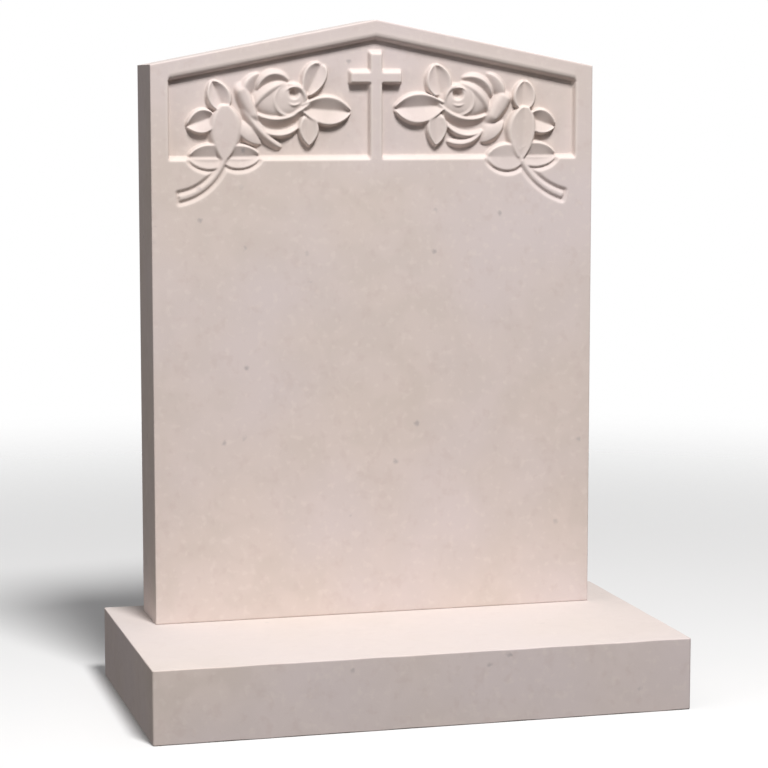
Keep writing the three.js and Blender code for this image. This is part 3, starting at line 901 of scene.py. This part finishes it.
@dataclass
class Headstone:
    """The upright slab with a gabled top, whose front holds the panel, the cross and the sprays."""

    width: float = 610.0
    thickness: float = 100.0
    eave: float = 742.0
    apex: float = 802.0
    front: float = 65.0
    foot: float = 95.0
    arris: float = 1.5
    arris_steps: int = 3
    panel: SunkPanel = field(default_factory=SunkPanel)
    cross: PlainCross = field(default_factory=PlainCross)
    sprays: tuple[Spray, ...] = field(default_factory=lambda: (left_spray(), right_spray()))
    carving_foot: float = 546.0
    pitch_across: float = 1.4
    pitch_up: float = 1.4
    plain_pitch: float = 90.0
    border_pitch: float = 5.0
    line_blend: float = 40.0
    sample_reach: float = 0.8
    curvature_passes: int = 6
    curvature_range: float = 1.2

    @property
    def gable_pitch(self) -> float:
        """Fall of the gable for each millimetre across."""
        return (self.apex - self.eave) / (self.width / 2.0)

    def roof(self, across: Array) -> Array:
        """Height of the gable's edge, which falls evenly from the apex to the eaves."""
        return self.apex - self.gable_pitch * np.abs(across)

    def columns(self) -> Array:
        """Distances across of the grid's columns, on the upright edges of the panel and the cross."""
        panel = self.panel
        edges = [panel.half_width - panel.side_draft, panel.half_width, self.width / 2.0 - self.arris]
        half = spaced([0.0, *self.cross.key_columns(), *edges], self.pitch_across)
        return np.concatenate([-half[:0:-1], half])

    def guide_lines(self, across: Array) -> list[tuple[Array, float]]:
        """Lines that the grid's rows run along, from the foot of the stone to its gable.

        Between the sill and the head of the panel a line is a fixed share of the way up, so the rows open
        like a fan. Near the cross, a line is drawn level with one of its edges.

        Args:
            across: distances across of the columns.

        Returns:
            Heights of each line at every column, with the row pitch below that line.
        """
        panel, level = self.panel, np.ones_like(across)
        sill_floor = panel.sill + panel.sill_splay
        head = panel.head(across, self.gable_pitch)
        head_floor = head - panel.top_splay
        lines = [
            (self.arris * level, self.plain_pitch),
            (2.0 * self.arris * level, self.plain_pitch),
            (self.carving_foot * level, self.plain_pitch),
            (panel.sill * level, self.pitch_up),
            (sill_floor * level, self.pitch_up),
        ]
        for row, reach in self.cross.key_rows():
            share = (row - sill_floor) / (panel.apex - panel.top_splay - sill_floor)
            fanned = sill_floor + share * (head_floor - sill_floor)
            near = 1.0 - smoothstep((np.abs(across) - reach) / self.line_blend)
            lines.append((fanned + (row - fanned) * near, self.pitch_up))
        edge = self.roof(across) - self.arris * math.hypot(1.0, self.gable_pitch)
        inner_edge = edge - self.arris
        lines += [(head_floor, self.pitch_up), (head, self.pitch_up)]
        lines += [(inner_edge, self.border_pitch), (edge, self.border_pitch)]
        return lines

    def rows(self, across: Array) -> Array:
        """Heights of the grid, spread evenly between each guide line and the next.

        Args:
            across: distances across of the columns.

        Returns:
            Heights, one row for each row of the grid.
        """
        lines = self.guide_lines(across)
        stacks = [lines[0][0][None, :]]
        for (low, _), (high, pitch) in zip(lines[:-1], lines[1:]):
            count = math.ceil(float((high - low).max()) / pitch)
            shares = np.arange(1, count + 1)[:, None] / count
            stacks.append(low + (high - low) * shares)
        return np.concatenate(stacks)

    def relief(self, spots: Spots) -> Array:
        """Height of the carved face out from the floor of the panel.

        Args:
            spots: places on the face.

        Returns:
            The heights.
        """
        depth = self.panel.depth
        ground = self.panel.relief(spots, self.gable_pitch)
        stone = np.maximum(ground, self.cross.relief(spots, self.panel.sill, depth))
        for spray in self.sprays:
            stone = spray.carve(stone, spots, depth)
        return stone

    def rubbed_relief(self, across: Array, up: Array) -> Array:
        """Relief with its edges rubbed: the mean of nine samples close around each place."""
        reach = self.sample_reach
        steps = [(dx, dz) for dx in (-reach, 0.0, reach) for dz in (-reach, 0.0, reach)]
        return np.mean([self.relief(Spots(across + dx, up + dz)) for dx, dz in steps], axis=0)

    def outline(self, across: Array, up: Array) -> Array:
        """Stretches the border of the grid out to the outline of the stone.

        Args:
            across: distances across of the border.
            up: heights of the border.

        Returns:
            Places on the outline, one row each.
        """
        half = self.width / 2.0
        wide = across * half / (half - self.arris)
        low, high = self.arris, self.roof(np.abs(across)) - self.arris * math.hypot(1.0, self.gable_pitch)
        tall = (up - low) / (high - low) * self.roof(wide)
        return np.stack([wide, tall], axis=1)

    def build(self) -> bpy.types.Object:
        """Makes the stone as one closed skin.

        The carved grid is the front. Its border is carried round a quarter-circle arris to the sides,
        straight to the back, round the back arris, and the back is closed over its middle.

        Returns:
            The object.
        """
        columns = self.columns()
        up = self.rows(columns)
        across = np.broadcast_to(columns, up.shape)
        height = self.rubbed_relief(across, up)
        front = np.stack([across, self.front + self.panel.depth - height, self.foot + up], axis=-1)
        numbers = np.arange(up.size).reshape(up.shape)
        cells = np.stack([numbers[:-1, :-1], numbers[:-1, 1:], numbers[1:, 1:], numbers[1:, :-1]], axis=-1)
        border = np.concatenate([numbers[0, :-1], numbers[:-1, -1], numbers[-1, :0:-1], numbers[:0:-1, 0]])
        inner = np.stack([across.ravel()[border], up.ravel()[border]], axis=1)
        reach = self.outline(inner[:, 0], inner[:, 1]) - inner
        turns = np.linspace(0.0, math.pi / 2.0, self.arris_steps + 1)
        near = [(math.sin(turn), self.front + self.arris * (1.0 - math.cos(turn))) for turn in turns[1:]]
        back = self.front + self.thickness
        far = [(math.sin(turn), back - self.arris * (1.0 - math.cos(turn))) for turn in turns[::-1]]
        loops, skirts = [border], []
        for share, depth in near + far:
            spot = inner + reach * share
            skirts.append(np.stack([spot[:, 0], np.full(len(border), depth), self.foot + spot[:, 1]], axis=1))
            loops.append(up.size + (len(loops) - 1) * len(border) + np.arange(len(border)))
        middle = [[0.0, back, self.foot + self.eave / 2.0]]
        points = np.concatenate([front.reshape(-1, 3), *skirts, middle])
        patches = [(cells.reshape(-1, 4), True)]
        for number, (low, high) in enumerate(zip(loops[:-1], loops[1:])):
            patches.append((between_loops(low, high)[:, ::-1], number != self.arris_steps))
        patches.append((fan(loops[-1], len(points) - 1)[:, ::-1], False))
        piece = new_mesh("headstone_carved", points, patches)
        # Painted highlight and painted shade: places that stand above their blurred surroundings fill the rim
        # layer, places below them the hollow layer.
        bulge = (height - softened(height, self.curvature_passes)) / self.curvature_range
        plain = np.zeros(len(points) - up.size)
        set_value_layer(piece, "rim", np.concatenate([np.clip(bulge, 0.0, 1.0).ravel(), plain]))
        set_value_layer(piece, "hollow", np.concatenate([np.clip(-bulge, 0.0, 1.0).ravel(), plain]))
        return piece

    def dress(self, piece: bpy.types.Object, stone: bpy.types.Material) -> None:
        """Gives the stone its finish and puts it in place of the plain solid."""
        piece.data.materials.append(stone)
        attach(piece, BODY)
        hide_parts("headstone")


@dataclass
class BaseSlab:
    """The rectangular slab that the headstone stands on, with a small worn arris on every edge."""

    width: float = 710.0
    depth: float = 390.0
    height: float = 95.0
    corner: float = 3.0
    arris: float = 1.5
    arris_steps: int = 4
    corner_steps: int = 5
    pitch: float = 10.0
    wear: float = 0.3
    wear_waves: tuple[Place, Place] = ((17.0, 0.0), (29.0, 1.3))

    def path(self) -> tuple[Array, Array]:
        """Walks round the slab in plan: four corner arcs, with the sides between them in short steps.

        Returns:
            Middles of the corner circles, and the outward direction, for each place on the path. On a
            side the two middles at its ends are joined by a line.
        """
        half = np.array([self.width / 2.0 - self.corner, self.depth / 2.0 - self.corner])
        signs = np.array([[1.0, -1.0], [1.0, 1.0], [-1.0, 1.0], [-1.0, -1.0]])
        middles, ways = [], []
        for turn, sign in enumerate(signs):
            angles = (turn - 1.0 + np.linspace(0.0, 1.0, self.corner_steps + 1)) * math.pi / 2.0
            ways.append(np.stack([np.cos(angles), np.sin(angles)], axis=1))
            middles.append(np.tile(half * sign, (len(angles), 1)))
            here, there = half * sign, half * signs[(turn + 1) % 4]
            count = math.ceil(float(np.hypot(*(there - here))) / self.pitch)
            shares = np.arange(1, count)[:, None] / count
            middles.append(here + (there - here) * shares)
            ways.append(np.tile(ways[-1][-1], (count - 1, 1)))
        return np.concatenate(middles), np.concatenate(ways)

    def build(self) -> bpy.types.Object:
        """Makes the slab as one closed skin of loops round the path.

        The profile is a straight side between two quarter-circle arrises. The arris is worn unevenly: its
        size changes along the path as the mean of two waves, each with a count and a start.

        Returns:
            The object.
        """
        middles, ways = self.path()
        count = len(middles)
        steps = np.hypot(*np.diff(middles + self.corner * ways, axis=0).T)
        walked = np.concatenate([[0.0], np.cumsum(steps)]) * math.tau / float(steps.sum())
        waves = np.mean([np.sin(times * walked + start) for times, start in self.wear_waves], axis=0)
        worn = self.arris * (1.0 + self.wear * waves)
        turns = np.linspace(0.0, math.pi / 2.0, self.arris_steps + 1)
        inset = [1.0 - math.sin(turn) for turn in turns]
        drop = [1.0 - math.cos(turn) for turn in turns]
        levels = [(side, fall * worn) for side, fall in zip(inset, drop)]
        levels += [(side, self.height - fall * worn) for side, fall in zip(inset[::-1], drop[::-1])]
        loops = []
        for side, level in levels:
            spot = middles + ways * (self.corner - side * worn)[:, None]
            loops.append(np.column_stack([spot, level]))
        ends = [[0.0, 0.0, 0.0], [0.0, 0.0, self.height]]
        points = np.concatenate([*loops, ends])
        numbers = np.arange(count * len(loops)).reshape(len(loops), count)
        patches = [(fan(numbers[0], len(points) - 2)[:, ::-1], False)]
        for row in range(len(loops) - 1):
            patches.append((between_loops(numbers[row], numbers[row + 1]), row != self.arris_steps))
        patches.append((fan(numbers[-1], len(points) - 1), False))
        return new_mesh("base_slab", points, patches)

    def dress(self, piece: bpy.types.Object, stone: bpy.types.Material) -> None:
        """Gives the slab its finish and puts it in place of the plain solid."""
        piece.data.materials.append(stone)
        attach(piece, BODY)
        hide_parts("base")


# Studio

@dataclass(frozen=True)
class Viewpoint:
    """Where the picture is taken from: metres, degrees and a lens for a 36 mm wide frame."""

    station: Point = (-0.8533, -3.133, 0.8044)
    turn_right: float = 15.109
    dip: float = 6.804
    lens: float = 115.58

    def set_camera(self) -> bpy.types.Object:
        """Makes the scene's camera and returns it."""
        lens = bpy.data.cameras.new("viewpoint")
        lens.lens = self.lens
        camera = bpy.data.objects.new("viewpoint", lens)
        camera.location = self.station
        camera.rotation_euler = (math.radians(90.0 - self.dip), 0.0, math.radians(-self.turn_right))
        bpy.context.scene.collection.objects.link(camera)
        bpy.context.scene.camera = camera
        return camera


@dataclass(frozen=True)
class Studio:
    """A plain pale floor under one broad lamp, with a weak fill lamp and a dome of light.

    The lamp hangs at a rise above the level and a turn to the right of the stone's front, in degrees. The
    floor fades into the backdrop between two distances from the stone. The dome's light grows from low to
    high between two heights of the sky, where 0 is level and 1 is overhead. Lengths are metres.
    """

    floor_reach: float = 6.0
    floor_full: float = 0.9
    floor_gone: float = 3.0
    floor_colour: Colour = (0.86, 0.855, 0.85)
    floor_roughness: float = 0.9
    lamp_aim: Point = (0.0, 0.0, 0.5)
    lamp_rise: float = 56.0
    lamp_turn: float = 6.0
    lamp_distance: float = 4.8
    lamp_size: float = 1.2
    lamp_power: float = 278.0
    fill_place: Point = (-4.6, -2.0, 1.0)
    fill_size: float = 3.0
    fill_power: float = 46.0
    dome_high: Colour = (0.33, 0.33, 0.335)
    dome_low: Colour = (0.04, 0.039, 0.038)
    dome_rise: Place = (-0.1, 1.0)
    backdrop: Colour = (1.0, 1.0, 1.0)

    def set_floor(self) -> bpy.types.Object:
        """Lays the floor, which throws no light back on the stone.

        Returns:
            The floor.
        """
        signs = np.array([[-1.0, -1.0, 0.0], [1.0, -1.0, 0.0], [1.0, 1.0, 0.0], [-1.0, 1.0, 0.0]])
        corners = signs * self.floor_reach / MM
        floor = new_mesh("floor", corners, [(np.array([[0, 1, 2, 3]]), False)])
        paint = bpy.data.materials.new("pale floor")
        paint.use_nodes = True
        sheet = NodeSheet(paint.node_tree)
        place = sheet.add("ShaderNodeTexCoord").outputs["Object"]
        away = sheet.add("ShaderNodeVectorMath", {0: place}, operation="LENGTH").outputs["Value"]
        surface = sheet.add("ShaderNodeBsdfPrincipled", {
            "Base Color": (*self.floor_colour, 1.0),
            "Roughness": self.floor_roughness,
            "Alpha": sheet.spread(away, self.floor_gone, self.floor_full),
        })
        sheet.add("ShaderNodeOutputMaterial", {"Surface": surface.outputs["BSDF"]})
        floor.data.materials.append(paint)
        floor.visible_diffuse = False
        floor.visible_glossy = False
        return floor

    def hang(self, name: str, place: Sequence[float], size: float, power: float) -> bpy.types.Object:
        """Hangs a round lamp that faces the stone and isn't seen itself.

        Args:
            name: name of the lamp.
            place: where it hangs.
            size: how wide it is.
            power: how strong it is, in watts.

        Returns:
            The lamp.
        """
        light = bpy.data.lights.new(name, "AREA")
        light.shape = "DISK"
        light.size = size
        light.energy = power
        lamp = bpy.data.objects.new(name, light)
        lamp.location = place
        lamp.rotation_euler = (Vector(place) - Vector(self.lamp_aim)).to_track_quat("Z", "Y").to_euler()
        lamp.visible_camera = False
        bpy.context.scene.collection.objects.link(lamp)
        return lamp

    def set_lamps(self) -> None:
        """Hangs the broad lamp high in front of the stone, and a weak fill to its left."""
        rise, turn = math.radians(self.lamp_rise), math.radians(self.lamp_turn)
        way = np.array([math.sin(turn) * math.cos(rise), -math.cos(turn) * math.cos(rise), math.sin(rise)])
        place = np.array(self.lamp_aim) + self.lamp_distance * way
        self.hang("soft lamp", place, self.lamp_size, self.lamp_power)
        self.hang("weak fill", self.fill_place, self.fill_size, self.fill_power)

    def set_dome(self) -> None:
        """Surrounds the scene with light that is stronger from above, in front of a white backdrop."""
        world = bpy.data.worlds.new("dome")
        bpy.context.scene.world = world
        world.use_nodes = True
        sheet = NodeSheet(world.node_tree)
        way = sheet.add("ShaderNodeTexCoord").outputs["Generated"]
        height = sheet.add("ShaderNodeSeparateXYZ", {0: way}).outputs["Z"]
        share = sheet.spread(height, *self.dome_rise)
        glow = sheet.blend(share, (*self.dome_low, 1.0), (*self.dome_high, 1.0))
        light = sheet.add("ShaderNodeBackground", {"Color": glow})
        seen = sheet.add("ShaderNodeBackground", {"Color": (*self.backdrop, 1.0)})
        path = sheet.add("ShaderNodeLightPath").outputs["Is Camera Ray"]
        mixed = sheet.add("ShaderNodeMixShader", {0: path, 1: light.outputs[0], 2: seen.outputs[0]})
        sheet.add("ShaderNodeOutputWorld", {"Surface": mixed.outputs[0]})


def main() -> None:
    """Builds the stone, the slab and the studio in order, and reports each piece."""
    logging.basicConfig(level=logging.INFO, format="%(name)s: %(message)s")
    bpy.context.scene.view_settings.view_transform = "Standard"
    Viewpoint().set_camera()
    studio = Studio()
    studio.set_floor()
    studio.set_lamps()
    studio.set_dome()
    pattern, grain = stone_pattern_group(), stone_grain_group()
    stone = Limestone("rubbed limestone", shift=(0.0, 0.0, 0.0))
    # The base's tint on faces that look up is painted light, like the stone's.
    slab = Limestone(
        "rubbed limestone base", shift=(2.3, 8.1, 4.6), body=(0.725, 0.615, 0.56), painted_top_light=(0.70, 0.637, 0.603)
    )
    dressing = ((Headstone(), stone), (BaseSlab(), slab))
    for part, finish in dressing:
        piece = part.build()
        part.dress(piece, finish.material(pattern, grain))
        faces = piece.data.polygons
        log.info("%s: %d vertices, %d faces", piece.name, len(piece.data.vertices), len(faces))


if __name__ == "__main__":
    main()
